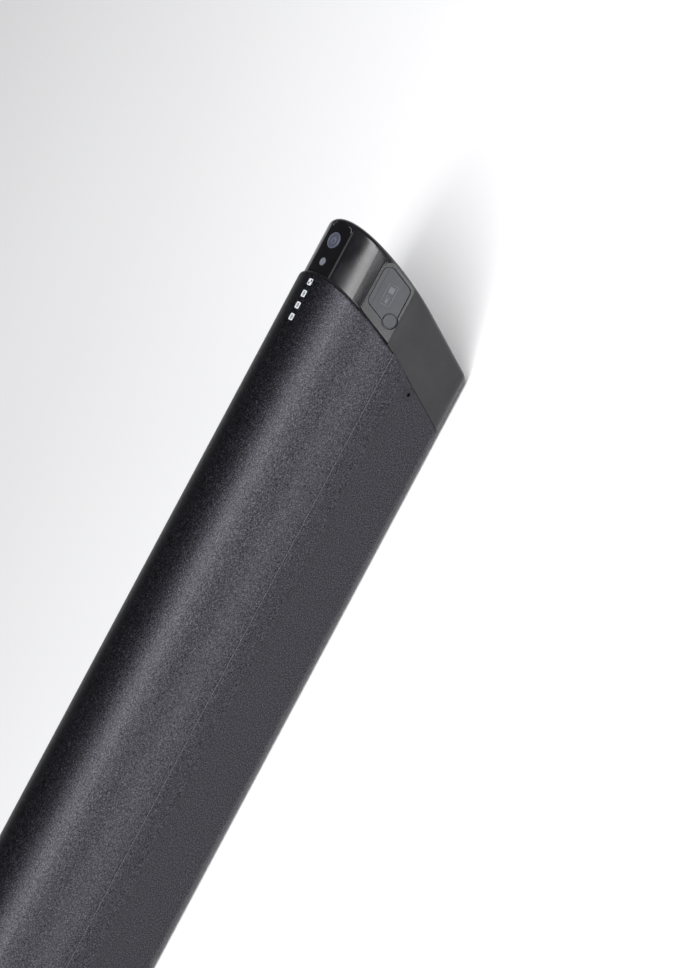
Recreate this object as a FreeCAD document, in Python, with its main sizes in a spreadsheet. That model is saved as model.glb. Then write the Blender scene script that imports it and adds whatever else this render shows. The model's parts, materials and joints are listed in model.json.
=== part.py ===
import FreeCAD, Part
import math
import os

import Sketcher
from FreeCAD import Placement, Rotation, Vector

# Removable battery pack of an electric bicycle, lying on its flat base.
# +X runs along the pack to its upper end, where the controls are. -Y is the side with the charging
# port. +Z points away from the bicycle frame. The origin is at the middle of the underside.

SIZES = [
    # casing
    ("pack_length", 430, "crown tip to lower end"),
    ("body_width", 76, "widest line of the casing"),
    ("crown_height", 45, "widest line to the crown"),
    ("base_depth", 41, "underside to the widest line"),
    ("crown_radius", 33, "top arc of the cover"),
    ("wall", 2, "aluminium wall"),
    ("mitre_slope", 0.49, "X lost for each mm below the crown at the upper end"),
    ("seam_rise", 9, "widest line to the seam between cover and base"),
    ("tongue_drop", 4, "depth of the tongue that joins cover to base"),
    ("seam_bevel", 0.4, "small bevels that make the seam a fine groove"),
    ("lip_drop", 3, "straight lip below the widest line"),
    ("lip_taper", 2.5, "slope under the lip"),
    ("corner_radius", 8.4, "lower corners, at the cover's own outline"),
    ("floor_thick", 2.2, "base floor"),
    ("slot_near", 14, "underside grooves, near edge from the middle"),
    ("slot_far", 19, "underside grooves, far edge"),
    ("slot_deep", 0.8, "underside grooves, depth"),
    # end caps
    ("cap_band", 28.3, "visible length of the upper cap along the crown"),
    ("foot_band", 18, "visible length of the lower cap"),
    ("cap_inset", 1.4, "caps lie this far inside the cover's outline"),
    ("spigot_inset", 3.6, "spigot outline"),
    ("hollow_inset", 5.6, "inside of the caps"),
    ("spigot_long", 8, "spigot length inside the housing"),
    ("end_wall", 3, "end wall of a cap, along X"),
    ("gasket_gap", 0.5, "gasket thickness between housing and cap"),
    ("gasket_inset", 1.75, "gasket outline"),
    ("cap_round", 2.6, "rounding of the upper cap's outer end edge"),
    ("foot_round", 3, "rounding of the lower cap's outer end edge"),
    ("cover_round", 1.2, "rounding of the cover's mitred edge"),
    ("cap_break", 0.35, "small rounding of the upper cap's edge at the seam"),
    ("tip_reach", 2.3, "upper cap's end plane beyond its rounded crown tip, along X"),
    # charging port pad, flap and socket
    ("pad_tilt", 62.4, "turn of the pad's plane about X"),
    ("pad_y", 31.7, "pad centre from the mid-plane"),
    ("pad_up", 22.8, "pad centre above the widest line"),
    ("pad_half", 10.2, "half width of the pad"),
    ("pad_deep", 5, "thickness of the pad's block"),
    ("pad_reach", 0.5, "pad beyond the crown tip's mitre plane, along X"),
    ("pad_corner", 4.2, "pad's corner radius at the end"),
    ("pad_round", 0.9, "rounding of the pad's edges"),
    ("flap_low", 8.05, "flap edge below the pad's centre"),
    ("flap_high", 8.4, "flap edge above the pad's centre"),
    ("flap_end_gap", 1.9, "flap edge to the end plane, along X"),
    ("flap_seam_gap", 5.2, "flap edge to the seam, along X"),
    ("flap_thick", 2, "flap thickness"),
    ("flap_clear", 0.3, "gap round the flap"),
    ("flap_round", 0.35, "rounding of the flap's outer edges"),
    ("groove_wide", 0.7, "groove round the flap's finger tab"),
    ("groove_deep", 1.0, "groove round the flap's finger tab"),
    ("fold_up", 6.2, "flap's fold above the pad's centre"),
    ("fold_gap", 0.12, "slit at the fold"),
    ("fold_long", 2.2, "thinned strip beside the fold"),
    ("fold_thick", 0.7, "flap thickness beside the fold"),
    ("flap_corner", 3.4, "flap corner radius"),
    ("tab_radius", 3.8, "finger tab"),
    ("tab_back", 33.7, "finger tab centre from the crown tip, along X"),
    ("tab_low", 5.5, "finger tab centre below the pad's centre"),
    ("sleeve_long", 6, "charging socket's sleeve"),
    ("socket_back", 24.0, "charging socket centre from the crown tip, along X"),
    ("socket_radius", 6.8, "charging socket body"),
    ("socket_bore", 5.3, "charging socket mouth"),
    ("socket_deep", 13, "charging socket body length"),
    # controls on the crown
    ("panel_half", 7.9, "half width of the control panel"),
    ("channel_half", 10.3, "half width of the channel round it"),
    ("panel_thick", 0.8, "control panel"),
    ("channel_deep", 0.5, "channel depth"),
    ("panel_end", 2.8, "panel to the crown tip"),
    ("button_back", 11.7, "button centre from the crown tip"),
    ("button_radius", 4.15, "power button"),
    ("button_clear", 0.15, "gap round the power button"),
    ("lens_back", 23.1, "status lens from the crown tip"),
    ("lens_radius", 1.85, "status lens"),
    ("led_back", 34.5, "first charge light from the crown tip"),
    ("led_pitch", 6.24, "charge light spacing"),
    ("led_long", 3.6, "charge light window along X"),
    ("led_wide", 3.5, "charge light window across"),
    ("board_level", 74, "underside of the indicator board"),
    # lock strike and lower end interface
    ("strike_up", 7, "lock strike above the widest line"),
    ("strike_radius", 7, "strike bush"),
    ("strike_bore", 4.5, "strike bore"),
    ("strike_long", 14, "strike bush length"),
    ("strike_back", 25, "strike mouth from the crown tip"),
    ("guide_y", 26, "guide bush from the mid-plane"),
    ("guide_up", 40, "guide bush height"),
    ("guide_radius", 5, "guide bush"),
    ("guide_bore", 3.1, "guide bore"),
    ("guide_long", 14, "guide bush length"),
    ("plug_wide", 34, "discharge socket opening, across"),
    ("plug_high", 13, "discharge socket opening, height"),
    ("plug_deep", 13, "discharge socket opening, depth"),
    ("plug_up", 26, "discharge socket centre height"),
    ("plug_wall", 2, "discharge socket wall"),
    # screws
    ("screw_radius", 1.5, "M3 shank"),
    ("screw_long", 7, "M3 length"),
    ("head_radius", 3, "countersunk head"),
    ("head_high", 1.6, "countersunk head height"),
    ("screw_y", 24, "floor screws from the mid-plane"),
    ("side_screw_up", 30, "side screw height"),
    # cells
    ("cell_radius", 9.15, "cell"),
    ("cell_long", 65, "cell length"),
    ("cell_pitch", 18.9, "spacing along X"),
    ("row_pitch", 16.4, "spacing of the three rows"),
    ("row_level", 12.5, "height of the lowest row"),
    ("block_start", 27.5, "cell block from the lower end"),
    ("holder_thick", 3, "cell holder plate"),
    ("strip_thick", 0.25, "nickel strip"),
    ("sheet_thick", 0.5, "insulating sheets"),
    # electronics
    ("bms_level", 59, "underside of the protection board"),
    ("bms_long", 130, "protection board"),
    ("bms_wide", 54, "protection board"),
    ("bms_start", 232, "protection board from the lower end"),
    ("board_thick", 1.6, "circuit boards"),
    ("lead_radius", 1.9, "main lead"),
    ("signal_radius", 1.1, "signal lead"),
]

# Round numbers used once, in the piece that they belong to, are written there.
ALONG_X = Rotation(Vector(0, 1, 0), 90)
ALONG_Y = Rotation(Vector(1, 0, 0), -90)
ALONG_LESS_Y = Rotation(Vector(1, 0, 0), 90)
FACING_X = Rotation(Vector(1, 1, 1), 120)
FACING_LESS_Y = Rotation(Vector(1, 0, 0), 90)

doc = FreeCAD.newDocument("battery_pack")
sheet = doc.addObject("Spreadsheet::Sheet", "Sizes")
nodes = []


# --- sizes that carry their own expression ---------------------------------------------------


class Dim:
    """A size worked out from the sheet: its number now, and the expression that keeps it."""

    def __init__(self, value, text):
        self.value = value
        self.text = text

    def __add__(self, other):
        other = dim(other)
        return Dim(self.value + other.value, f"({self.text} + {other.text})")

    def __sub__(self, other):
        other = dim(other)
        return Dim(self.value - other.value, f"({self.text} - {other.text})")

    def __mul__(self, other):
        other = dim(other)
        return Dim(self.value * other.value, f"({self.text} * {other.text})")

    def __truediv__(self, other):
        other = dim(other)
        return Dim(self.value / other.value, f"({self.text} / {other.text})")

    def __radd__(self, other):
        return dim(other) + self

    def __rsub__(self, other):
        return dim(other) - self

    def __rmul__(self, other):
        return dim(other) * self

    def __rtruediv__(self, other):
        return dim(other) / self

    def __neg__(self):
        return Dim(-self.value, f"(0 - {self.text})")


def dim(value):
    """A plain number as a Dim. A Dim comes back as it is."""
    return value if isinstance(value, Dim) else Dim(float(value), f"({value:.6f})")


def root(value):
    return Dim(math.sqrt(value.value), f"sqrt({value.text})")


def sine(angle):
    return Dim(math.sin(math.radians(angle.value)), f"sin({angle.text})")


def cosine(angle):
    return Dim(math.cos(math.radians(angle.value)), f"cos({angle.text})")


class Sizes:
    """The sheet's cells by name, each as a Dim."""


def fill_sheet():
    sizes = Sizes()
    for row, (name, value, note) in enumerate(SIZES, 1):
        sheet.set(f"A{row}", note)
        sheet.set(f"B{row}", str(value))
        sheet.setAlias(f"B{row}", name)
        setattr(sizes, name, Dim(float(value), f"Sizes.{name}"))
    doc.recompute()
    return sizes


d = fill_sheet()

# Places that many pieces share.
tip = d.pack_length / 2
foot = -(d.pack_length / 2)
half_width = d.body_width / 2
level = d.base_depth
crown = d.base_depth + d.crown_height
crown_centre = crown - d.crown_radius
crown_rise = d.crown_height - d.crown_radius
side_radius = (half_width * half_width + crown_rise * crown_rise - d.crown_radius * d.crown_radius) / (
    2 * (half_width - d.crown_radius)
)
side_centre = half_width - side_radius
arc_step = side_radius - d.crown_radius
turn_y = (side_radius - half_width) / arc_step
turn_z = crown_rise / arc_step
lower_half = half_width - d.cap_inset
seam = level + d.seam_rise
foot_seam = foot + d.foot_band
block_start = foot + d.block_start


# --- building blocks --------------------------------------------------------------------------


def node(thing, name):
    """Registers a finished sub-part under the name that its file gets."""
    thing.Label = name
    nodes.append(thing)
    return thing


def place(thing, x=0, y=0, z=0, turn=None):
    x, y, z = dim(x), dim(y), dim(z)
    thing.Placement = Placement(Vector(x.value, y.value, z.value), turn or Rotation())
    for axis, value in (("x", x), ("y", y), ("z", z)):
        thing.setExpression(f"Placement.Base.{axis}", value.text)
    return thing


def bind(thing, **sizes):
    for name, value in sizes.items():
        thing.setExpression(name, dim(value).text)
    return thing


def box(name, low, span, turn=None):
    """A box from its low corner, as long as span says along each of its own axes."""
    made = doc.addObject("Part::Box", name)
    bind(made, Length=span[0], Width=span[1], Height=span[2])
    return place(made, *low, turn)


def slab(name, x_range, y_range, z_range):
    """A box between two X, two Y and two Z values."""
    low = [dim(r[0]) for r in (x_range, y_range, z_range)]
    span = [dim(r[1]) - dim(r[0]) for r in (x_range, y_range, z_range)]
    return box(name, low, span)


def rod(name, base, radius, length, turn=None):
    """A cylinder that starts at base and runs along +Z, or where turn sends +Z."""
    made = doc.addObject("Part::Cylinder", name)
    bind(made, Radius=radius, Height=length)
    return place(made, *base, turn)


def cone(name, base, start, end, length, turn=None):
    made = doc.addObject("Part::Cone", name)
    bind(made, Radius1=start, Radius2=end, Height=length)
    return place(made, *base, turn)


def fuse(name, *pieces):
    made = doc.addObject("Part::MultiFuse", name)
    made.Shapes = list(pieces)
    made.Refine = True
    return made


def group(name, *pieces):
    """Separate solids that share one node."""
    made = doc.addObject("Part::Compound", name)
    made.Links = list(pieces)
    return made


def common(name, *pieces):
    made = doc.addObject("Part::MultiCommon", name)
    made.Shapes = list(pieces)
    return made


def cut(name, base, *tools):
    made = doc.addObject("Part::Cut", name)
    made.Base = base
    made.Tool = tools[0] if len(tools) == 1 else fuse(name + "_tools", *tools)
    return made


def symmetric(right, over, under):
    """A closed path from its right half. A path is points and, between them, joints: None for a line or
    (radius, turn) for an arc, with turn 1 where its centre is to the left. over and under join the halves."""
    left = [(-item[0], item[1]) if i % 2 == 0 else item for i, item in enumerate(reversed(right))]
    return [*right, over, *left, under]


def outline(sketch, path):
    """Draws a closed path of points and joints into a sketch, each point and radius bound to the sheet."""
    corners = [(dim(a), dim(b)) for a, b in path[0::2]]
    joints = path[1::2]
    ends = []
    for i, joint in enumerate(joints):
        (ax, ay), (bx, by) = corners[i], corners[(i + 1) % len(corners)]
        a, b = Vector(ax.value, ay.value, 0), Vector(bx.value, by.value, 0)
        if joint is None:
            edge = sketch.addGeometry(Part.LineSegment(a, b), False)
            ends.append((edge, 1, 2))
            continue
        radius, turn = joint
        radius = dim(radius)
        chord = b - a
        rise = math.sqrt(max(radius.value**2 - (chord.Length / 2) ** 2, 0))
        side = Vector(-chord.y, chord.x, 0).normalize() * turn
        centre = (a + b) * 0.5 + side * rise
        first, last = (a, b) if turn > 0 else (b, a)
        angles = [math.atan2(p.y - centre.y, p.x - centre.x) for p in (first, last)]
        circle = Part.Circle(centre, Vector(0, 0, 1), radius.value)
        edge = sketch.addGeometry(Part.ArcOfCircle(circle, *angles), False)
        number = sketch.addConstraint(Sketcher.Constraint("Radius", edge, radius.value))
        sketch.setExpression(f"Constraints[{number}]", radius.text)
        ends.append((edge, 1, 2) if turn > 0 else (edge, 2, 1))
    for i, (edge, start, end) in enumerate(ends):
        after, after_start, _ = ends[(i + 1) % len(ends)]
        sketch.addConstraint(Sketcher.Constraint("Coincident", edge, end, after, after_start))
        for kind, value in (("DistanceX", corners[i][0]), ("DistanceY", corners[i][1])):
            number = sketch.addConstraint(Sketcher.Constraint(kind, edge, start, value.value))
            sketch.setExpression(f"Constraints[{number}]", value.text)
    return sketch


def drawn(name, path, base=(0, 0, 0), turn=FACING_X):
    """A sketch that stands on its own, outside any body."""
    sketch = doc.addObject("Sketcher::SketchObject", name)
    place(sketch, *base, turn)
    return outline(sketch, path)


def extrude(name, sketch, length, back=0):
    """The sketch's area swept along its normal, and back the other way."""
    made = doc.addObject("Part::Extrusion", name)
    made.Base = sketch
    made.DirMode = "Normal"
    made.Solid = True
    bind(made, LengthFwd=length, LengthRev=back)
    return made


def arch(inset):
    """The casing's closed outline, this far inside the cover's outer skin."""
    inset = dim(inset)
    half = half_width - inset
    corner = d.corner_radius - inset
    ground = inset - d.cap_inset
    side = side_radius - inset
    top = d.crown_radius - inset
    right = [
        (half - corner, ground), (corner, 1),
        (half, ground + corner), None,
        (half, level), (side, 1),
        (turn_y * top, crown_centre + turn_z * top),
    ]
    return symmetric(right, (top, 1), None)


def skin_y(inset, height):
    """Half the casing's width at a height, this far inside the cover's outer skin."""
    radius = side_radius - inset
    rise = height - level
    return side_centre + root(radius * radius - rise * rise)


def mitre(height, back=0):
    """X of the plane parallel to the upper end, back mm behind it, at a height."""
    return tip - back - d.mitre_slope * (crown - height)


def band(name, front, rear):
    """A slab right across the pack between two mitre planes, given as distances behind the upper end."""
    low, high = dim(-2), crown + 3
    path = [
        (mitre(low, rear), low), None,
        (mitre(low, front), low), None,
        (mitre(high, front), high), None,
        (mitre(high, rear), high), None,
    ]
    reach = half_width + 4
    return extrude(name, drawn(name + "_sketch", path, turn=FACING_LESS_Y), reach, reach)


def filled(name, inset, start, length):
    """The casing's outline as a solid bar along X."""
    return extrude(name, drawn(name + "_sketch", arch(inset), (start, 0, 0)), length)


def pad_point(x, v=0, w=0):
    """A point in the port pad's own frame: x along the pack, v up the pad, w out of it."""
    v, w = dim(v), dim(w)
    s, c = sine(d.pad_tilt), cosine(d.pad_tilt)
    return (x, -d.pad_y + v * c - w * s, level + d.pad_up + v * s + w * c)


def pad_turn():
    return Rotation(Vector(1, 0, 0), d.pad_tilt.value)


def body_sketch(body, name, role, path, offset=None):
    """A sketch on one of the body's own origin planes."""
    sketch = body.newObject("Sketcher::SketchObject", name)
    plane = next(f for f in body.Origin.OriginFeatures if f.Role == role)
    sketch.AttachmentSupport = [(plane, "")]
    sketch.MapMode = "FlatFace"
    if offset is not None:
        sketch.AttachmentOffset = Placement(Vector(0, 0, offset.value), Rotation())
        sketch.setExpression("AttachmentOffset.Base.z", offset.text)
    return outline(sketch, path)


def edges_where(shape, test):
    """Numbers of the edges whose middle point passes the test."""
    found = []
    for number, edge in enumerate(shape.Edges, 1):
        middle = edge.valueAt((edge.FirstParameter + edge.LastParameter) / 2)
        if test(middle, edge):
            found.append(number)
    return found


def on_mitre(point, back):
    return abs(point.x - (tip.value - back - d.mitre_slope.value * (crown.value - point.z))) < 0.02


def outline_inset(point):
    """How far a point lies inside the cover's outer skin, above the widest line."""
    y, z = abs(point.y), point.z
    if z < level.value:
        return half_width.value - y
    if (z - crown_centre.value) * turn_y.value > y * turn_z.value:
        return d.crown_radius.value - math.hypot(y, z - crown_centre.value)
    return side_radius.value - math.hypot(y - side_centre.value, z - level.value)


def rounded(x0, x1, half, radius):
    """A rounded rectangle in the XY plane, from x0 to x1 and half wide each side of the middle."""
    x0, x1, half, radius = dim(x0), dim(x1), dim(half), dim(radius)
    return [
        (x0 + radius, -half), None,
        (x1 - radius, -half), (radius, 1),
        (x1, -half + radius), None,
        (x1, half - radius), (radius, 1),
        (x1 - radius, half), None,
        (x0 + radius, half), (radius, 1),
        (x0, half - radius), None,
        (x0, -half + radius), (radius, 1),
    ]


# --- housing ------------------------------------------------------------------------------------


def mitre_waste(back):
    """What the mitre saw takes off the upper end: the area beyond the plane, seen from the side."""
    low, high, beyond = dim(-2), crown + 3, tip + 40
    return [
        (mitre(low, back), low), None,
        (beyond, low), None,
        (beyond, high), None,
        (mitre(high, back), high), None,
    ]


def extrusion_body(name, path):
    """An aluminium profile, sawn square at the lower end and mitred at the upper end."""
    body = doc.addObject("PartDesign::Body", name)
    profile = body_sketch(body, name + "_profile", "YZ_Plane", path, foot_seam + d.gasket_gap / 2)
    pad = body.newObject("PartDesign::Pad", name + "_bar")
    pad.Profile = profile
    bind(pad, Length=d.pack_length - d.foot_band)
    doc.recompute()
    waste = body_sketch(body, name + "_mitre", "XZ_Plane", mitre_waste(d.cap_band + d.gasket_gap / 2))
    sawn = body.newObject("PartDesign::Pocket", name + "_sawn")
    sawn.Profile = waste
    sawn.Type = "ThroughAll"
    sawn.Midplane = True
    doc.recompute()
    if sawn.Shape.Volume > pad.Shape.Volume - 1:
        raise RuntimeError(f"{name}: the mitre cut took nothing")
    return body


def housing_cover():
    half_wall = d.wall / 2
    tongue = seam - d.tongue_drop
    top, inner_top = d.crown_radius, d.crown_radius - d.wall
    inner_side = side_radius - d.wall
    right = [
        (turn_y * inner_top, crown_centre + turn_z * inner_top), (inner_side, -1),
        (skin_y(d.wall, tongue), tongue), None,
        (skin_y(half_wall, tongue), tongue), None,
        (skin_y(half_wall, seam), seam), None,
        (skin_y(0, seam) - d.seam_bevel, seam), None,
        (skin_y(0, seam + d.seam_bevel), seam + d.seam_bevel), (side_radius, 1),
        (turn_y * top, crown_centre + turn_z * top),
    ]
    body = extrusion_body("cover", symmetric(right, (top, 1), (inner_top, -1)))
    window_start = tip - d.led_back - d.led_long / 2
    window = body_sketch(
        body, "window_outline", "XY_Plane",
        rounded(window_start, window_start + d.led_long, d.led_wide / 2, 0.7), crown - 5,
    )
    before = body.Shape.Volume
    windows = body.newObject("PartDesign::Pocket", "window_cut")
    windows.Profile = window
    windows.Reversed = True
    windows.Length = 8
    doc.recompute()
    row = body.newObject("PartDesign::LinearPattern", "window_row")
    row.Originals = [windows]
    row.Direction = (next(f for f in body.Origin.OriginFeatures if f.Role == "X_Axis"), [""])
    row.Reversed = True
    bind(row, Length=3 * d.led_pitch)
    row.Occurrences = 4
    body.Tip = row
    doc.recompute()
    if before - row.Shape.Volume < 60:
        raise RuntimeError("the charge light windows are not all cut")
    back = d.cap_band.value + d.gasket_gap.value / 2
    edges = edges_where(row.Shape, lambda p, e: on_mitre(p, back) and abs(outline_inset(p)) < 0.02)
    soften = body.newObject("PartDesign::Fillet", "mitre_edge")
    soften.Base = (row, [f"Edge{n}" for n in edges])
    bind(soften, Radius=d.cover_round)
    body.Tip = soften
    doc.recompute()
    return node(body, "housing_cover")


def housing_base():
    half_wall = d.wall / 2
    tongue = seam - d.tongue_drop
    outer_corner = d.corner_radius - d.cap_inset
    inner_corner = outer_corner - d.wall
    inner_half = lower_half - d.wall
    lip = level - d.lip_drop
    right = [
        (d.slot_near, 0), None,
        (d.slot_near, d.slot_deep), None,
        (d.slot_far, d.slot_deep), None,
        (d.slot_far, 0), None,
        (lower_half - outer_corner, 0), (outer_corner, 1),
        (lower_half, outer_corner), None,
        (lower_half, lip - d.lip_taper), None,
        (half_width, lip), None,
        (half_width, level), (side_radius, 1),
        (skin_y(0, seam - d.seam_bevel), seam - d.seam_bevel), None,
        (skin_y(0, seam) - d.seam_bevel, seam), None,
        (skin_y(half_wall, seam), seam), None,
        (skin_y(half_wall, tongue), tongue), None,
        (skin_y(d.wall, tongue), tongue), (side_radius - d.wall, -1),
        (half_width - d.wall, level), None,
        (half_width - d.wall, lip - 0.6), None,
        (inner_half, lip - d.lip_taper - 0.6), None,
        (inner_half, d.floor_thick + inner_corner), (inner_corner, -1),
        (inner_half - inner_corner, d.floor_thick),
    ]
    body = extrusion_body("base", symmetric(right, None, None))
    holes = [screw_clearance(f"base_hole_{i}", *spot) for i, spot in enumerate(cap_screw_spots())]
    drilled = cut("base_drilled", body, *holes)
    return node(drilled, "housing_base")


# --- screws -------------------------------------------------------------------------------------


def cap_screw_spots():
    """Where the caps' countersunk screws go in through the base: place of the head's face, and direction."""
    upper_floor_x = mitre(0, d.cap_band) - d.spigot_long / 2
    upper_side_x = mitre(d.side_screw_up, d.cap_band) - d.spigot_long / 2
    lower_x = foot_seam + d.spigot_long / 2 + 0.4
    spots = []
    for floor_x, side_x in ((upper_floor_x, upper_side_x), (lower_x, lower_x)):
        spots += [
            ((floor_x, d.screw_y, 0), Rotation()),
            ((floor_x, -d.screw_y, 0), Rotation()),
            ((side_x, lower_half, d.side_screw_up), ALONG_LESS_Y),
            ((side_x, -lower_half, d.side_screw_up), ALONG_Y),
        ]
    return spots


def screw_clearance(name, spot, turn):
    """A countersunk clearance hole."""
    sink = cone(name + "_sink", spot, d.head_radius + 0.15, d.screw_radius + 0.15, d.head_high, turn)
    shaft = rod(name + "_shaft", spot, d.screw_radius + 0.15, 3.4, turn)
    return fuse(name, sink, shaft)


def screw(name, spot, turn):
    head = cone(name + "_head", spot, d.head_radius, d.screw_radius, d.head_high, turn)
    shank = rod(name + "_shank", spot, d.screw_radius, d.screw_long, turn)
    drive = doc.addObject("Part::Prism", name + "_drive")
    drive.Polygon = 6
    bind(drive, Circumradius=1.15, Height=1.2)
    place(drive, *spot, turn)
    return cut(name, fuse(name + "_blank", head, shank), drive)


def cap_screws():
    spots = cap_screw_spots()
    for label, chosen in (("top_cap_screws", spots[:4]), ("bottom_cap_screws", spots[4:])):
        node(group(label, *[screw(f"{label}_{i}", *spot) for i, spot in enumerate(chosen)]), label)


def screw_bosses(name, spots, limit):
    """Blocks on a spigot that the cap screws bite into, kept inside the spigot's own outline."""
    blocks = []
    for i, ((x, y, z), turn) in enumerate(spots):
        blocks.append(rod(f"{name}_{i}", (x, y, z), 3.6, d.screw_long + 2, turn))
    return common(name, fuse(name + "_blocks", *blocks), limit)


def screw_pilots(name, spots):
    return [rod(f"{name}_{i}", spot, d.screw_radius, d.screw_long + 0.5, turn)
            for i, (spot, turn) in enumerate(spots)]


# --- upper cap ------------------------------------------------------------------------------------


def leaning(rear, end, low, high, radius):
    """A parallelogram in the pad's frame that leans with the mitre. rear and end are X at mid height."""
    slope = d.mitre_slope * sine(d.pad_tilt)
    lean = root(1 + slope * slope)
    # How far a rounding reaches along each side from the sharp and from the blunt corners.
    sharp, blunt = radius * (lean + slope), radius * (lean - slope)
    side_x, side_v = slope / lean, 1 / lean
    return [
        (rear + slope * low + sharp, low), None,
        (end + slope * low - blunt, low), (radius, 1),
        (end + slope * low + side_x * blunt, low + side_v * blunt), None,
        (end + slope * high - side_x * sharp, high - side_v * sharp), (radius, 1),
        (end + slope * high - sharp, high), None,
        (rear + slope * high + blunt, high), (radius, 1),
        (rear + slope * high - side_x * blunt, high - side_v * blunt), None,
        (rear + slope * low + side_x * sharp, low + side_v * sharp), (radius, 1),
    ]


def flap_path(grow):
    """The flap's outline in the pad's frame, grown outwards."""
    slope = d.mitre_slope * sine(d.pad_tilt)
    lean = root(1 + slope * slope)
    centre = level + d.pad_up
    end = mitre(centre, d.flap_end_gap) + grow * lean
    rear = mitre(centre, d.cap_band - d.flap_seam_gap) - grow * lean
    return leaning(rear, end, -d.flap_low - grow, d.flap_high + grow, d.flap_corner + grow)


def flap_prism(name, grow, low, high):
    """The flap with its round finger tab, from w = low to w = high in the pad's frame."""
    sketch = drawn(name + "_sketch", flap_path(grow), pad_point(0, 0, low), pad_turn())
    plate = extrude(name + "_plate", sketch, dim(high) - low)
    tab = rod(name + "_tab", pad_point(tip - d.tab_back, -d.tab_low, low), d.tab_radius + grow,
              dim(high) - low, pad_turn())
    return fuse(name, plate, tab)


def on_pad_face(p):
    """Whether a point lies in the pad's outer face."""
    face = pad_point(0, 0, 0)
    normal = pad_turn().multVec(Vector(0, 0, 1))
    return abs((p - Vector(0, face[1].value, face[2].value)).dot(normal)) < 0.01


def port_pad():
    """The raised flat block on the port side, with rounded corners and edges. It runs on to the seam."""
    centre = level + d.pad_up
    rear, end = mitre(centre, d.cap_band + 12), mitre(centre, -d.pad_reach)
    path = leaning(rear, end, -d.pad_half, d.pad_half, d.pad_corner)
    sketch = drawn("pad_outline", path, pad_point(0, 0, -d.pad_deep), pad_turn())
    block = extrude("pad_block", sketch, d.pad_deep)
    seam_back = d.cap_band - d.gasket_gap / 2
    trimmed = common("pad_trimmed", block, band("pad_band", -d.tip_reach, seam_back))
    doc.recompute()
    rims = edges_where(trimmed.Shape, lambda p, e: on_pad_face(p) and not on_mitre(p, seam_back.value))
    return filleted("pad_soft", trimmed, (rims, d.pad_round))


def filleted(name, base, *rounds):
    """Rounds edges of base. Each of rounds is a list of edge numbers and its radius."""
    if not all(edges for edges, _ in rounds):
        raise RuntimeError(f"{name}: no edges to round")
    made = doc.addObject("Part::Fillet", name)
    made.Base = base
    made.Edges = [(number, radius.value, radius.value) for edges, radius in rounds for number in edges]
    return made


def cap_outer():
    start = mitre(-2, d.cap_band + 2)
    seam_back = d.cap_band - d.gasket_gap / 2
    block = common("cap_block", filled("cap_bar", d.cap_inset, start, tip + 2 * d.tip_reach - start),
                   band("cap_slice", -d.tip_reach, seam_back))
    doc.recompute()
    end_edges = edges_where(block.Shape, lambda p, e: on_mitre(p, -d.tip_reach.value))
    seam_edges = edges_where(block.Shape, lambda p, e: on_mitre(p, seam_back.value))
    return filleted("cap_rounded", block, (end_edges, d.cap_round), (seam_edges, d.cap_break))


def cap_spigot():
    start = mitre(-2, d.cap_band + d.spigot_long + 2)
    return common("cap_spigot", filled("cap_spigot_bar", d.spigot_inset, start, tip - start),
                  band("cap_spigot_slice", d.cap_band - 1, d.cap_band + d.spigot_long))


def cap_hollow():
    start = mitre(-2, d.cap_band + d.spigot_long + 3)
    return common("cap_hollow", filled("cap_hollow_bar", d.hollow_inset, start, tip - start),
                  band("cap_hollow_slice", d.end_wall - d.tip_reach, d.cap_band + d.spigot_long + 1))


def crown_channel():
    """The shallow channel round the control panel, following the crown."""
    start = tip - d.cap_band - 6
    path = rounded(start, tip - d.panel_end + 0.6, d.channel_half, 3)
    column = extrude("channel_column", drawn("channel_outline", path, (0, 0, crown - 12), Rotation()), 14)
    below = filled("channel_floor", d.cap_inset + d.channel_deep, start - 1, d.cap_band + 12)
    return cut("crown_channel", column, below)


def control_panel():
    start = tip - d.cap_band - 6
    path = rounded(start, tip - d.panel_end, d.panel_half, 2.5)
    column = extrude("panel_column", drawn("panel_outline", path, (0, 0, crown - 12), Rotation()), 14)
    outer = filled("panel_skin", d.cap_inset + d.channel_deep - d.panel_thick, start - 1, d.cap_band + 12)
    below = filled("panel_bed", d.cap_inset + d.channel_deep, start - 1, d.cap_band + 12)
    strip = common("panel_strip", column, outer, band("panel_slice", 0, d.cap_band - d.gasket_gap))
    bottom = crown - 12
    button = rod("panel_button_hole", (tip - d.button_back, 0, bottom), d.button_radius + d.button_clear, 14)
    lens = rod("panel_lens_hole", (tip - d.lens_back, 0, bottom), d.lens_radius, 14)
    node(cut("panel", strip, below, button, lens), "control_panel")


def strike_seat():
    """What the lock strike needs in the upper cap: a boss to add and a pocket to cut."""
    height = level + d.strike_up
    mouth = tip - d.strike_back
    rear = mouth - d.strike_long
    boss = rod("strike_boss_rod", (rear - 2, 0, height), d.strike_radius + 2.5, d.strike_long + 16, ALONG_X)
    boss = common("strike_boss", boss, band("strike_boss_slice", d.end_wall / 2 - d.tip_reach, 200))
    bed = rod("strike_bed", (rear, 0, height), d.strike_radius, d.strike_long, ALONG_X)
    well = rod("strike_well", (mouth, 0, height), d.strike_radius, d.strike_back, ALONG_X)
    return boss, [bed, well]


def lock_strike():
    height = level + d.strike_up
    rear = tip - d.strike_back - d.strike_long
    bush = rod("strike_bush", (rear, 0, height), d.strike_radius, d.strike_long, ALONG_X)
    bore = rod("strike_bore_cut", (rear, 0, height), d.strike_bore, d.strike_long, ALONG_X)
    node(cut("strike", bush, bore), "lock_strike")


def socket_place(w):
    return pad_point(tip - d.socket_back, 0, w)


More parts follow.
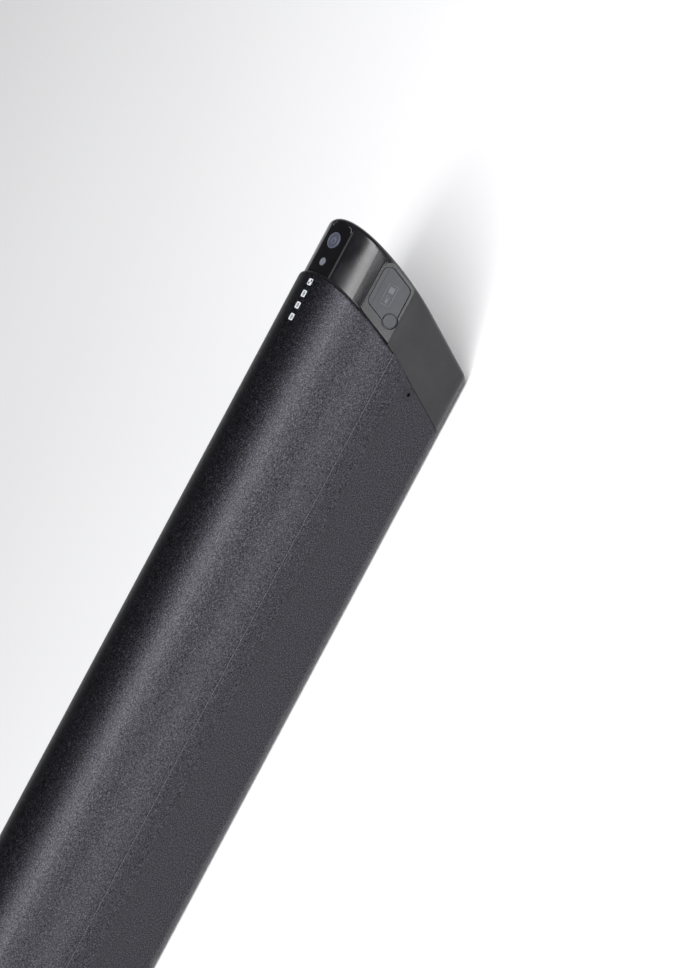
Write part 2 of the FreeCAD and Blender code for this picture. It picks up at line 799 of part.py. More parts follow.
def top_cap():
    shell = cut("cap_shell", fuse("cap_mass", cap_outer(), cap_spigot(), port_pad()), cap_hollow())
    boss, strike_tools = strike_seat()
    spots = cap_screw_spots()[:4]
    start = mitre(-2, d.cap_band + d.spigot_long + 4)
    limit = filled("cap_boss_limit", d.spigot_inset, start, tip - start)
    bosses = screw_bosses("cap_screw_boss", spots, limit)
    rail_limit = filled("rail_limit", d.spigot_inset, start, tip - start)
    rails = [
        slab(f"board_rail_{i}", (tip - 24, tip - 14), near_far, (d.board_level - 2.5, d.board_level))
        for i, near_far in enumerate(((7.5, 24), (-24, -7.5)))
    ]
    rails = common("board_rails", fuse("board_rail_pair", *rails), rail_limit)
    solid = fuse("cap_solid", shell, boss, bosses, rails)
    recess = flap_prism("flap_recess", d.flap_clear, -d.flap_thick - d.flap_clear, dim(3))
    socket = rod("socket_way", socket_place(-d.flap_thick - 16), d.socket_radius, 20, pad_turn())
    seat = rod("socket_seat", socket_place(-d.flap_thick - 1.2), d.socket_radius + 0.8, 5, pad_turn())
    bottom = crown - 14
    button = rod("cap_button_hole", (tip - d.button_back, 0, bottom), d.button_radius + d.button_clear, 16)
    lens = rod("cap_lens_hole", (tip - d.lens_back, 0, bottom), d.lens_radius, 16)
    guide_start, guide_end = guide_span()
    notch = slab("guide_notch", (guide_start - 1, guide_end + 0.6), (-4.6, 4.6), (crown - 6, crown - 2.6))
    tools = [recess, socket, seat, button, lens, notch, crown_channel(), *strike_tools]
    node(cut("cap", solid, *tools, *screw_pilots("cap_pilot", spots)), "top_cap")


# --- flap, charging socket, button and lights -----------------------------------------------------


def charge_port_flap():
    """The rubber flap folds along a line near its upper edge. The strip above the fold is its anchor."""
    blank = flap_prism("flap_blank", dim(0), -d.flap_thick, dim(0))
    doc.recompute()
    soft = filleted("flap_soft", blank, (edges_where(blank.Shape, lambda p, e: on_pad_face(p)), d.flap_round))
    long, start = dim(80), tip - 70

    def strip_box(name, low_v, high_v, low_w, high_w):
        return box(name, pad_point(start, low_v, low_w), (long, high_v - low_v, high_w - low_w), pad_turn())

    half_gap = d.fold_gap / 2
    above = strip_box("flap_above_fold", d.fold_up - half_gap, d.fold_up + 6, dim(-4), dim(3))
    below = strip_box("flap_below_fold", dim(-16), d.fold_up + half_gap, dim(-4), dim(3))
    thinned = strip_box("flap_thinned", d.fold_up - d.fold_long, d.fold_up + 1, dim(-4), -d.fold_thick)
    centre = (tip - d.tab_back, -d.tab_low)
    ring = cut("tab_groove",
               rod("tab_groove_outer", pad_point(*centre, -d.groove_deep), d.tab_radius, 2, pad_turn()),
               rod("tab_groove_inner", pad_point(*centre, -2), d.tab_radius - d.groove_wide, 4, pad_turn()))
    node(cut("flap", soft, above, thinned, ring), "charge_port_flap")
    # The anchor reaches down to the recess's floor, where it is bonded.
    footing = flap_prism("anchor_footing", dim(0), -d.flap_thick - d.flap_clear, -d.flap_thick / 2)
    node(cut("anchor", fuse("anchor_blank", soft, footing), below), "flap_anchor")


def charge_socket():
    """A flanged sleeve that takes the plug, with an insulating insert and its pins behind it."""
    face = -d.flap_thick - 0.4
    sleeve_end = face - d.sleeve_long
    flange = rod("socket_flange", socket_place(face - 0.8), d.socket_radius + 0.8, 0.8, pad_turn())
    sleeve = rod("socket_sleeve", socket_place(sleeve_end), d.socket_radius, d.sleeve_long, pad_turn())
    mouth = rod("socket_mouth", socket_place(sleeve_end - 1), d.socket_bore, d.sleeve_long + 2, pad_turn())
    node(cut("socket", fuse("socket_body", flange, sleeve), mouth), "charge_socket")
    back = face - d.socket_deep
    back_long = d.socket_deep - d.sleeve_long
    barrel = rod("insert_barrel", socket_place(back), d.socket_radius, back_long, pad_turn())
    neck = rod("insert_neck", socket_place(face - 11), d.socket_bore - 0.5, 6, pad_turn())
    node(cut("insert", barrel, neck), "charge_socket_insert")
    pins = []
    for i in range(3):
        turn = Dim(120.0 * i + 90, f"{120.0 * i + 90} deg")
        x = tip - d.socket_back + 2.6 * cosine(turn)
        pins.append(rod(f"socket_pin_{i}", pad_point(x, 2.6 * sine(turn), face - 11), 0.7, 3.6, pad_turn()))
    node(group("socket_pins", *pins), "charge_socket_pins")


def power_button():
    x = tip - d.button_back
    bottom = crown - 7.4
    stem = rod("button_stem", (x, 0, bottom), d.button_radius, 6.6)
    flange = rod("button_flange", (x, 0, bottom), d.button_radius + 1, 1)
    doc.recompute()
    dish = doc.addObject("Part::Sphere", "button_dish")
    bind(dish, Radius=28)
    place(dish, x, 0, bottom + 6.6 + 27.75)
    node(cut("button", fuse("button_blank", stem, flange), dish), "power_button")
    node(rod("plunger", (x, 0, bottom - 1.7), 1.6, 1.7), "switch_plunger")


def indicator_board():
    x = tip - d.button_back
    top = d.board_level + d.board_thick
    start = tip - d.led_back - 3 * d.led_pitch - 5
    node(slab("indicator_plate", (start, tip - 9.5), (-7, 7), (d.board_level, top)), "indicator_board")
    case = slab("switch_case", (x - 3.2, x + 3.2), (-3.2, 3.2), (top, top + 1.6))
    well = rod("switch_well", (x, 0, top + 0.3), 1.75, 2)
    node(cut("switch", case, well), "tact_switch")
    lights = [
        slab(f"light_{i}", (tip - d.led_back - i * d.led_pitch - 1, tip - d.led_back - i * d.led_pitch + 1),
             (-0.8, 0.8), (top, top + 0.9))
        for i in range(4)
    ]
    node(group("lights", *lights), "charge_lights")
    lens = rod("lens_rod", (tip - d.lens_back, 0, top + 0.2), d.lens_radius, crown - 0.9 - top - 0.2)
    node(lens, "status_lens")


def guide_span():
    """Ends of the light guide's bar along X."""
    return tip - d.led_back - 3 * d.led_pitch - 4, tip - d.led_back + 3


def light_guide():
    bar = slab("guide_bar", guide_span(), (-4, 4), (crown - 5, crown - 3.2))
    rods = []
    for i in range(4):
        x = tip - d.led_back - i * d.led_pitch - d.led_long / 2 + 0.08
        path = rounded(x, x + d.led_long - 0.16, d.led_wide / 2 - 0.08, 0.62)
        sketch = drawn(f"guide_post_outline_{i}", path, (0, 0, crown - 5), Rotation())
        rods.append(extrude(f"guide_post_{i}", sketch, 4.85))
    node(fuse("guide", bar, *rods), "light_guide")


# --- gaskets and lower cap ------------------------------------------------------------------------


def gaskets():
    start = mitre(-2, d.cap_band + 3)
    ring = cut("top_ring", filled("top_ring_bar", d.gasket_inset, start, tip - start),
               filled("top_ring_hole", d.spigot_inset, start - 1, tip - start))
    sliced = common("top_gasket_slice", ring,
                    band("top_gasket_band", d.cap_band - d.gasket_gap / 2, d.cap_band + d.gasket_gap / 2))
    node(sliced, "top_gasket")
    low = foot_seam - d.gasket_gap / 2
    node(cut("low_ring", filled("low_ring_bar", d.gasket_inset, low, d.gasket_gap),
             filled("low_ring_hole", d.spigot_inset, low - 1, 4)), "bottom_gasket")


def guide_spots():
    return [(foot, side * d.guide_y, d.guide_up) for side in (1, -1)]


def bottom_cap():
    face = foot_seam - d.gasket_gap / 2
    block = filled("foot_block", d.cap_inset, foot, face - foot)
    doc.recompute()
    end_edges = edges_where(block.Shape, lambda p, e: abs(p.x - foot.value) < 0.01)
    outer = filleted("foot_rounded", block, (end_edges, d.foot_round))
    spigot = filled("foot_spigot", d.spigot_inset, foot + 5, foot_seam + d.spigot_long - foot - 5)
    hollow = filled("foot_hollow", d.hollow_inset, foot + d.end_wall, d.foot_band + d.spigot_long)
    shell = cut("foot_shell", fuse("foot_mass", outer, spigot), hollow)
    spots = cap_screw_spots()[4:]
    limit = filled("foot_boss_limit", d.spigot_inset, foot + 2, d.foot_band + d.spigot_long)
    bosses = screw_bosses("foot_screw_boss", spots, limit)
    sleeves = [rod(f"guide_sleeve_{i}", (x + 1.5, y, z), d.guide_radius + 1.6, d.guide_long, ALONG_X)
               for i, (x, y, z) in enumerate(guide_spots())]
    solid = fuse("foot_solid", shell, bosses, *sleeves)
    beds = [rod(f"guide_bed_{i}", (x - 1, y, z), d.guide_radius, d.guide_long + 1.6, ALONG_X)
            for i, (x, y, z) in enumerate(guide_spots())]
    window = slab("plug_window", (foot - 1, foot + d.plug_deep + 3),
                  (-d.plug_wide / 2 - d.plug_wall, d.plug_wide / 2 + d.plug_wall),
                  (d.plug_up - d.plug_high / 2 - d.plug_wall, d.plug_up + d.plug_high / 2 + d.plug_wall))
    node(cut("foot_cap", solid, window, *beds, *screw_pilots("foot_pilot", spots)), "bottom_cap")


def guide_bushes():
    bushes = []
    for i, (x, y, z) in enumerate(guide_spots()):
        bush = rod(f"bush_rod_{i}", (x + 0.6, y, z), d.guide_radius, d.guide_long, ALONG_X)
        bore = rod(f"bush_bore_{i}", (x - 1, y, z), d.guide_bore, d.guide_long + 4, ALONG_X)
        bushes.append(cut(f"bush_{i}", bush, bore))
    node(group("bushes", *bushes), "guide_bushes")


def discharge_socket():
    near = foot + 0.8
    half, rise = d.plug_wide / 2, d.plug_high / 2
    low, high = d.plug_up - rise, d.plug_up + rise
    case = slab("plug_case", (near, near + d.plug_deep + 2), (-half - d.plug_wall, half + d.plug_wall),
                (low - d.plug_wall, high + d.plug_wall))
    mouth = slab("plug_mouth", (near - 1, near + d.plug_deep), (-half, half), (low, high))
    node(cut("plug_shell", case, mouth), "discharge_socket")
    blades = []
    for i, (y, wide, tall) in enumerate(((-11, 1.2, 8), (11, 1.2, 8), (-4, 1, 3), (0, 1, 3), (4, 1, 3))):
        back = near + d.plug_deep
        span_z = (d.plug_up - tall / 2, d.plug_up + tall / 2)
        blades.append(slab(f"blade_{i}", (back - 5, back), (y - dim(wide) / 2, y + dim(wide) / 2), span_z))
    node(group("blades", *blades), "discharge_blades")


# --- cells ------------------------------------------------------------------------------------------

COLUMNS = 17
CELLS_IN_GROUP = 5
GROUPS = 10


def cell_places():
    """X and Z of each cell's axis, column by column, the middle row set half a pitch along."""
    spots = []
    for column in range(COLUMNS):
        for row in range(3):
            shift = d.cell_pitch / 2 if row == 1 else 0
            x = block_start + d.cell_radius + 0.6 + column * d.cell_pitch + shift
            spots.append((x, d.row_level + row * d.row_pitch))
    return spots[:CELLS_IN_GROUP * GROUPS]


def cell_groups():
    spots = cell_places()
    for number in range(GROUPS):
        cells = []
        for i in range(CELLS_IN_GROUP):
            index = CELLS_IN_GROUP * number + i
            x, z = spots[index]
            cells.append(rod(f"cell_{index}", (x, -d.cell_long / 2, z), d.cell_radius, d.cell_long, ALONG_Y))
        label = f"cell_group_{number + 1:02d}"
        node(group(label, *cells), label)


def cell_holders():
    spots = cell_places()
    for label, near in (("cell_holder_left", d.cell_long / 2 - d.holder_thick),
                        ("cell_holder_right", -d.cell_long / 2)):
        plate = slab(label + "_plate", (block_start, block_start + COLUMNS * d.cell_pitch + 10.2),
                     (near, near + d.holder_thick), (3.5, d.row_level + 2 * d.row_pitch + d.cell_radius))
        plate = common(label + "_cut", plate, band(label + "_band", d.cap_band + d.spigot_long + 0.8, 500))
        bores = [rod(f"{label}_bore_{i}", (x, near - 1, z), d.cell_radius + 0.05, d.holder_thick + 2, ALONG_Y)
                 for i, (x, z) in enumerate(spots)]
        node(cut(label + "_body", plate, *bores), label)


def strip(name, indexes, low_y):
    """One nickel strip: a bar along each row's cells, and a link between the rows."""
    spots = cell_places()
    span_y = (low_y, low_y + d.strip_thick)
    bars = []
    for row in range(3):
        xs = [spots[i][0] for i in indexes if i % 3 == row]
        z = d.row_level + row * d.row_pitch
        bars.append(slab(f"{name}_bar_{row}", (xs[0] - 3.2, xs[-1] + 3.2), span_y, (z - 3.5, z + 3.5)))
    whole = next(i for i in indexes if i % 3 == 0 and i + 2 in indexes)
    x = spots[whole][0]
    span_z = (d.row_level, d.row_level + 2 * d.row_pitch)
    bars.append(slab(f"{name}_link", (x + 2.2, x + 7.2), span_y, span_z))
    return fuse(name, *bars)


def nickel_strips():
    """Each strip joins one group's plus ends to the next group's minus ends."""
    cells = list(range(CELLS_IN_GROUP * GROUPS))
    pair = 2 * CELLS_IN_GROUP
    left = [cells[i:i + pair] for i in range(0, len(cells), pair)]
    inner = [cells[i:i + pair] for i in range(CELLS_IN_GROUP, len(cells) - CELLS_IN_GROUP, pair)]
    right = [cells[:CELLS_IN_GROUP], *inner, cells[-CELLS_IN_GROUP:]]
    for label, runs, low_y in (("nickel_strips_left", left, d.cell_long / 2),
                               ("nickel_strips_right", right, -d.cell_long / 2 - d.strip_thick)):
        node(group(label, *[strip(f"{label}_{i}", run, low_y) for i, run in enumerate(runs)]), label)


def sheets_and_foam():
    end = block_start + COLUMNS * d.cell_pitch
    low_z, high_z = d.row_level - 4, d.row_level + 2 * d.row_pitch + 4
    for label, side in (("side_sheet_left", 1), ("side_sheet_right", -1)):
        near = side * (d.cell_long / 2 + d.strip_thick + 0.2)
        low_y = near if side > 0 else near - d.sheet_thick
        sheet_y = (low_y, low_y + d.sheet_thick)
        node(slab(label + "_sheet", (block_start, end - 8), sheet_y, (low_z, high_z)), label)
    sheet_z = (d.floor_thick, d.floor_thick + d.sheet_thick)
    node(slab("floor_slab", (block_start, end - 8), (-28, 28), sheet_z), "floor_sheet")
    top = d.row_level + 2 * d.row_pitch + d.cell_radius
    node(slab("foam", (block_start + 26, block_start + 160), (-22, 22), (top, top + 3)), "top_foam")


# --- protection board and leads ---------------------------------------------------------------------


def protection_board():
    start = foot + d.bms_start
    end = start + d.bms_long
    half = d.bms_wide / 2
    top = d.bms_level + d.board_thick
    cells_top = d.row_level + 2 * d.row_pitch + d.cell_radius
    plate = slab("bms_plate", (start, end), (-half, half), (d.bms_level, top))
    chips = [slab(f"bms_chip_{i}", (start + 92 + 14 * i, start + 102 + 14 * i), (-20, -10), (top, top + 2))
             for i in range(2)]
    node(fuse("bms", plate, *chips), "bms_board")
    posts = [rod(f"bms_post_{i}", (x, y, cells_top), 2.5, d.bms_level - cells_top)
             for i, (x, y) in enumerate((x, y) for x in (start + 6, end - 24) for y in (-25, 25))]
    node(group("bms_posts", *posts), "bms_standoffs")
    switches = [slab(f"fet_{i}", (start + 8 + 13 * i, start + 18 + 13 * i), (-7.5, 7.5), (top, top + 4.4))
                for i in range(6)]
    node(group("fets", *switches), "power_transistors")
    node(slab("spreader", (start + 6, start + 86), (-9, 9), (top + 4.4, top + 7.4)), "heat_spreader")
    case = slab("fuse_case", (start - 40, start - 16), (-8, 8), (top - 2, top + 6))
    node(case, "main_fuse")
    bead = rod("bead", (block_start + 165, 14, cells_top - 0.2), 1.4, 3.2)
    node(bead, "thermistor")


def lead(name, points, radius):
    """A round lead along straight runs joined by tangent arcs as large as the runs allow."""
    points = [Vector(*(dim(c).value for c in point)) for point in points]
    edges, start = [], points[0]
    for before, corner, after in zip(points, points[1:], points[2:]):
        to_back, to_front = (before - corner), (after - corner)
        reach = 0.45 * min(to_back.Length, to_front.Length)
        first = corner + to_back.normalize() * reach
        last = corner + to_front.normalize() * reach
        half_angle = to_back.getAngle(to_front) / 2
        bend = reach * math.tan(half_angle)
        centre = corner + (to_back + to_front).normalize() * (reach / math.cos(half_angle))
        middle = centre + (corner - centre).normalize() * bend
        edges += [Part.LineSegment(start, first).toShape(), Part.Arc(first, middle, last).toShape()]
        start = last
    edges.append(Part.LineSegment(start, points[-1]).toShape())
    run = Part.Wire(edges)
    section = Part.Face(Part.Wire(Part.makeCircle(radius.value, points[0], points[1] - points[0])))
    made = doc.addObject("Part::Feature", name + "_tube")
    made.Shape = run.makePipe(section)
    node(made, name)


def leads():
    start = foot + d.bms_start
    behind_plug = foot + d.plug_deep + 3
    plug_top = d.plug_up
    lane = d.bms_level + 3
    for label, y in (("positive_lead", 13), ("negative_lead", -13)):
        lead(label, [(start - 2, y, lane), (start - 50, y, lane), (start - 100, y, lane + 2),
                     (start - 150, y, lane), (start - 190, y, lane - 2), (foot + 23, y, lane - 9),
                     (foot + 21, y, 38), (behind_plug + 2.4, y * 0.85, plug_top)], d.lead_radius)
    tail = socket_place(-d.flap_thick - 0.4 - d.socket_deep - 0.1)
    end = start + d.bms_long
    lead("charge_lead", [tail, (tail[0], tail[1] + 4, tail[2] - 2), (tail[0] - 12, tail[1] + 6, tail[2]),
                         (end + 12, -14, lane + 1), (end + 0.3, -12, lane - 2)], d.signal_radius)
    lead("signal_lead", [(end + 0.3, 6, d.bms_level + 1), (end + 5, 6, lane), (end + 8, 5, lane + 5),
                         (end + 11, 3, d.board_level - 2), (end + 17, 2, d.board_level - 1.2)],
         d.signal_radius)


# --- build and write --------------------------------------------------------------------------------


def build_all():
    housing_cover()
    housing_base()
    top_cap()
    control_panel()
    charge_port_flap()
    charge_socket()
    power_button()
    indicator_board()
    light_guide()
    lock_strike()
    gaskets()
    bottom_cap()
    guide_bushes()
    discharge_socket()
    cap_screws()
    cell_groups()
    cell_holders()
    nickel_strips()
    sheets_and_foam()
    protection_board()
    leads()


def check_all():
    doc.recompute()
    for thing in doc.Objects:
        if {"Invalid", "Error"} & set(thing.State):
            raise RuntimeError(f"{thing.Name} is in state {thing.State}")
    for thing in nodes:
        if thing.Shape.isNull() or not thing.Shape.isValid() or not thing.Shape.Solids:
            raise RuntimeError(f"{thing.Label} has no valid solid")


def write_all():
    os.makedirs("parts", exist_ok=True)
    for thing in nodes:
        thing.Shape.exportStep(f"parts/{thing.Label}.step")
        around = thing.Shape.BoundBox
        spans = ((around.XMin, around.XMax), (around.YMin, around.YMax), (around.ZMin, around.ZMax))
        words = " ".join(f"{axis} {low:.1f}..{high:.1f}" for axis, (low, high) in zip("XYZ", spans))
        volume = thing.Shape.Volume / 1000
        print(f"{thing.Label}: {len(thing.Shape.Solids)} solids, {volume:.2f} cm3, {words}")


build_all()
check_all()
write_all()
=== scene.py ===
import json
import math

import bmesh
import bpy
from mathutils import Matrix, Vector

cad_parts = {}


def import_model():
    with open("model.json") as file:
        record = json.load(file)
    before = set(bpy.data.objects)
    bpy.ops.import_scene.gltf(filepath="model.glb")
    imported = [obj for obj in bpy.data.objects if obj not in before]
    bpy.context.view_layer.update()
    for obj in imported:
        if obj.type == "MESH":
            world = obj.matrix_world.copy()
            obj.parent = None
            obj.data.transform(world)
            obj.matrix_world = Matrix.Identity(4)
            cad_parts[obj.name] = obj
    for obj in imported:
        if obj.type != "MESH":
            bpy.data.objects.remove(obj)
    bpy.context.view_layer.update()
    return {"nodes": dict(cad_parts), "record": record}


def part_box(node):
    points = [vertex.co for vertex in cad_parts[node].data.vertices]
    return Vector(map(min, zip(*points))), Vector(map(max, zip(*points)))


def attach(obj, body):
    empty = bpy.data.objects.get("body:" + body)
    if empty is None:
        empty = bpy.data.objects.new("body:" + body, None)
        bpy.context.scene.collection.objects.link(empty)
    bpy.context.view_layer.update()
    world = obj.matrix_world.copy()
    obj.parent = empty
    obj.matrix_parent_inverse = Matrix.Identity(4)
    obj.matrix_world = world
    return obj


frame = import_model()

MM = 0.001

# Camera: square to the pack's long axis, raised and rolled as a bicycle's down tube lies.
ELEVATION = math.radians(38)
ROLL = math.radians(28.08)           # the pack's axis from the picture's vertical
LENS = 135.0
SENSOR = 36.0
VIEW_HEIGHT = 459.9 * MM             # what the picture's height covers at the pack
AIM_BACK = 98.7 * MM                 # picture centre, from the power button towards the lower end
AIM_DOWN = 61.5 * MM                 # and across the pack, away from its crown
AIM_NEAR = 55 * MM                   # from the row's axis towards the camera

nodes = frame["nodes"]
record = frame["record"]
mounts = {mount["name"]: mount for mount in record["mounts"]}


def low(node, axis):
    """A node's lowest coordinate along an axis, 0 for X to 2 for Z."""
    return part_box(node)[0][axis]


def high(node, axis):
    """A node's highest coordinate along an axis."""
    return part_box(node)[1][axis]


def middle(node):
    a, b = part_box(node)
    return (Vector(a) + Vector(b)) / 2


# The port pad's own directions: along the pack, up the pad, and out of it.
PAD_X = Vector((1, 0, 0))
PAD_W = Vector(mounts["charge_port"]["axis"]).normalized()
PAD_V = PAD_W.cross(PAD_X)
PORT_DEPTH = 5.4 * MM                # the port mount's point, below the pad's face
PAD_CENTRE = Vector(mounts["charge_port"]["pos_m"]) + PAD_W * PORT_DEPTH
BUTTON = middle("power_button")
LENS_AT = middle("status_lens")
CROWN_CENTRE = 53 * MM               # height of the axis that the crown's arcs share
FIRST_WINDOW = 180.5 * MM            # the charge window nearest the button
WINDOW_PITCH = 6.24 * MM

LIGHT_HEIGHT = 50 * MM               # the point that the soft lights face, above the floor
LIGHT_SHIFT = 100 * MM               # and towards the control end
LIGHT_LONG = 2.6                     # the soft lights' length along the pack
FLOOR_HALF = 6.0
FLOOR_DROP = 0.2 * MM                # keeps the floor off the pack's flat underside

MIX_FIRST, MIX_SECOND, MIX_RESULT = 6, 7, 2    # the Mix node's sockets for colours


# --- shader helpers ---------------------------------------------------------------------------


class Shader:
    """A material's node tree, with short ways to add and join nodes."""

    def __init__(self, name):
        self.material = bpy.data.materials.new(name)
        self.material.use_nodes = True
        self.tree = self.material.node_tree
        self.bsdf = self.tree.nodes["Principled BSDF"]
        self.place = self.add("ShaderNodeTexCoord").outputs["Object"]

    def add(self, kind, **settings):
        made = self.tree.nodes.new(kind)
        for key, value in settings.items():
            setattr(made, key, value)
        return made

    def link(self, start, end):
        self.tree.links.new(start, end)

    def set(self, **values):
        for name, value in values.items():
            socket = self.bsdf.inputs[name.replace("_", " ")]
            socket.default_value = (*value, 1) if isinstance(value, tuple) else value

    def noise(self, size, detail=2.0, rough=0.5, stretch=None):
        """Noise whose grains are about size metres across."""
        made = self.add("ShaderNodeTexNoise")
        made.inputs["Scale"].default_value = 1 / size
        made.inputs["Detail"].default_value = detail
        made.inputs["Roughness"].default_value = rough
        if stretch:
            mapping = self.add("ShaderNodeMapping")
            mapping.inputs["Scale"].default_value = stretch
            self.link(self.place, mapping.inputs["Vector"])
            self.link(mapping.outputs["Vector"], made.inputs["Vector"])
        else:
            self.link(self.place, made.inputs["Vector"])
        return made.outputs["Fac"]

    def span(self, value, low_in, high_in, low_out, high_out):
        made = self.add("ShaderNodeMapRange")
        names = ("From Min", "From Max", "To Min", "To Max")
        for name, number in zip(names, (low_in, high_in, low_out, high_out)):
            made.inputs[name].default_value = number
        self.link(value, made.inputs["Value"])
        return made.outputs["Result"]

    def ramp(self, value, *stops):
        made = self.add("ShaderNodeValToRGB")
        ramp = made.color_ramp
        while len(ramp.elements) < len(stops):
            ramp.elements.new(0.5)
        for element, (place, colour) in zip(ramp.elements, stops):
            element.position = place
            element.color = (*colour, 1)
        self.link(value, made.inputs["Fac"])
        return made.outputs["Color"]

    def mix(self, amount, first, second):
        made = self.add("ShaderNodeMix", data_type="RGBA")
        self.link(amount, made.inputs["Factor"])
        for index, value in ((MIX_FIRST, first), (MIX_SECOND, second)):
            socket = made.inputs[index]
            if isinstance(value, tuple):
                socket.default_value = (*value, 1)
            else:
                self.link(value, socket)
        return made.outputs[MIX_RESULT]

    def bump(self, *layers):
        """Layers of (height, strength, distance), laid one over the other."""
        normal = None
        for height, strength, distance in layers:
            made = self.add("ShaderNodeBump")
            made.inputs["Strength"].default_value = strength
            made.inputs["Distance"].default_value = distance
            self.link(height, made.inputs["Height"])
            if normal is not None:
                self.link(normal, made.inputs["Normal"])
            normal = made.outputs["Normal"]
        self.link(normal, self.bsdf.inputs["Normal"])


def powder_coat():
    """Fine-textured black powder coat: pinhead grains with a soft blue-grey sheen."""
    s = Shader("powder_coat")
    grain = s.noise(0.62 * MM, 3, 0.65)
    speck = s.noise(0.62 * MM, 4, 0.7)
    cloud = s.noise(28 * MM, 3)
    base = s.ramp(grain, (0.40, (0.0006, 0.0006, 0.0010)), (0.58, (0.0030, 0.0030, 0.0044)),
                  (0.70, (0.045, 0.045, 0.062)))
    worn = s.mix(s.span(cloud, 0.3, 0.7, 0.0, 0.2), base, (0.002, 0.002, 0.003))
    s.link(worn, s.bsdf.inputs["Base Color"])
    s.link(s.span(grain, 0.3, 0.7, 0.34, 0.50), s.bsdf.inputs["Roughness"])
    s.link(s.span(speck, 0.38, 0.62, 0.18, 0.92), s.bsdf.inputs["Specular IOR Level"])
    s.set(Specular_Tint=(0.90, 0.88, 1.0))
    s.bump((grain, 0.62, 0.16 * MM), (speck, 0.3, 0.12 * MM))
    return s.material


def satin_plastic(name, colour, roughness):
    """Satin moulded plastic with a faint spark-eroded grain."""
    s = Shader(name)
    fine = s.noise(0.22 * MM, 2)
    cloud = s.noise(14 * MM, 4)
    lighter = tuple(c * 1.5 + 0.004 for c in colour)
    s.link(s.ramp(cloud, (0.3, colour), (0.75, lighter)), s.bsdf.inputs["Base Color"])
    s.link(s.span(cloud, 0.3, 0.7, roughness - 0.05, roughness + 0.07), s.bsdf.inputs["Roughness"])
    s.set(Specular_IOR_Level=0.55)
    s.bump((fine, 0.25, 0.03 * MM), (cloud, 0.05, 0.2 * MM))
    return s.material


def gloss_black():
    """Polished black strip with faint rubbing marks along it."""
    s = Shader("panel_gloss")
    marks = s.noise(0.9 * MM, 5, 0.6, (1, 14, 14))
    s.link(s.span(marks, 0.45, 0.8, 0.05, 0.16), s.bsdf.inputs["Roughness"])
    s.link(s.ramp(s.noise(9 * MM), (0.3, (0.003, 0.003, 0.0038)), (0.7, (0.005, 0.005, 0.006))),
           s.bsdf.inputs["Base Color"])
    s.set(Specular_IOR_Level=0.6, Coat_Weight=0.5, Coat_Roughness=0.04)
    return s.material


def rubber(name, colour, roughness=0.62):
    """Matt moulded rubber with fine stipple and a dusty bloom."""
    s = Shader(name)
    fine = s.noise(0.16 * MM, 3)
    bloom = s.noise(4.5 * MM, 4, 0.6)
    paler = tuple(min(1, c * 1.35 + 0.006) for c in colour)
    s.link(s.ramp(bloom, (0.30, colour), (0.72, paler)), s.bsdf.inputs["Base Color"])
    s.link(s.span(bloom, 0.3, 0.7, roughness - 0.08, roughness + 0.08), s.bsdf.inputs["Roughness"])
    s.set(Specular_IOR_Level=0.4, Sheen_Weight=0.08)
    s.bump((fine, 0.35, 0.03 * MM))
    return s.material


def metal(name, colour, roughness, stretch=(1, 12, 12)):
    """Turned, drawn or plated metal with fine lines."""
    s = Shader(name)
    lines = s.noise(0.5 * MM, 4, 0.6, stretch)
    darker = tuple(c * 0.8 for c in colour)
    s.link(s.ramp(lines, (0.3, darker), (0.7, colour)), s.bsdf.inputs["Base Color"])
    s.link(s.span(lines, 0.3, 0.7, roughness - 0.06, roughness + 0.10), s.bsdf.inputs["Roughness"])
    s.set(Metallic=1.0)
    s.bump((lines, 0.10, 0.02 * MM))
    return s.material


def milky(name, colour):
    """Frosted window over a light."""
    s = Shader(name)
    cloud = s.noise(0.8 * MM, 3)
    paler = tuple(min(1, c * 1.12) for c in colour)
    s.link(s.ramp(cloud, (0.3, colour), (0.7, paler)), s.bsdf.inputs["Base Color"])
    s.link(s.span(cloud, 0.3, 0.7, 0.22, 0.34), s.bsdf.inputs["Roughness"])
    s.set(Subsurface_Weight=0.15, Subsurface_Scale=1 * MM)
    s.bump((cloud, 0.05, 0.03 * MM))
    return s.material


def button_face():
    """Soft grey-blue button skin."""
    s = Shader("button_grey")
    fine = s.noise(0.2 * MM, 3)
    cloud = s.noise(2.5 * MM, 3)
    colour = s.ramp(cloud, (0.3, (0.050, 0.055, 0.078)), (0.7, (0.066, 0.072, 0.098)))
    s.link(colour, s.bsdf.inputs["Base Color"])
    s.link(s.span(fine, 0.3, 0.7, 0.38, 0.5), s.bsdf.inputs["Roughness"])
    s.bump((fine, 0.2, 0.02 * MM))
    return s.material


def board():
    """Solder mask over copper traces."""
    s = Shader("circuit_board")
    traces = s.add("ShaderNodeTexBrick", offset=0.5)
    traces.inputs["Scale"].default_value = 260
    traces.inputs["Mortar Size"].default_value = 0.03
    traces.inputs["Color1"].default_value = (0.010, 0.070, 0.028, 1)
    traces.inputs["Color2"].default_value = (0.012, 0.085, 0.034, 1)
    traces.inputs["Mortar"].default_value = (0.03, 0.15, 0.06, 1)
    s.link(s.place, traces.inputs["Vector"])
    s.link(traces.outputs["Color"], s.bsdf.inputs["Base Color"])
    s.link(s.span(s.noise(6 * MM), 0.3, 0.7, 0.25, 0.4), s.bsdf.inputs["Roughness"])
    s.bump((traces.outputs["Fac"], 0.15, 0.03 * MM))
    return s.material


def paper(name, colour):
    """Pressed sheet with short fibres."""
    s = Shader(name)
    fibre = s.noise(0.9 * MM, 5, 0.7, (1, 5, 5))
    paler = tuple(min(1, c * 1.2) for c in colour)
    s.link(s.ramp(fibre, (0.3, colour), (0.7, paler)), s.bsdf.inputs["Base Color"])
    s.link(s.span(fibre, 0.3, 0.7, 0.7, 0.9), s.bsdf.inputs["Roughness"])
    s.bump((fibre, 0.3, 0.1 * MM))
    return s.material


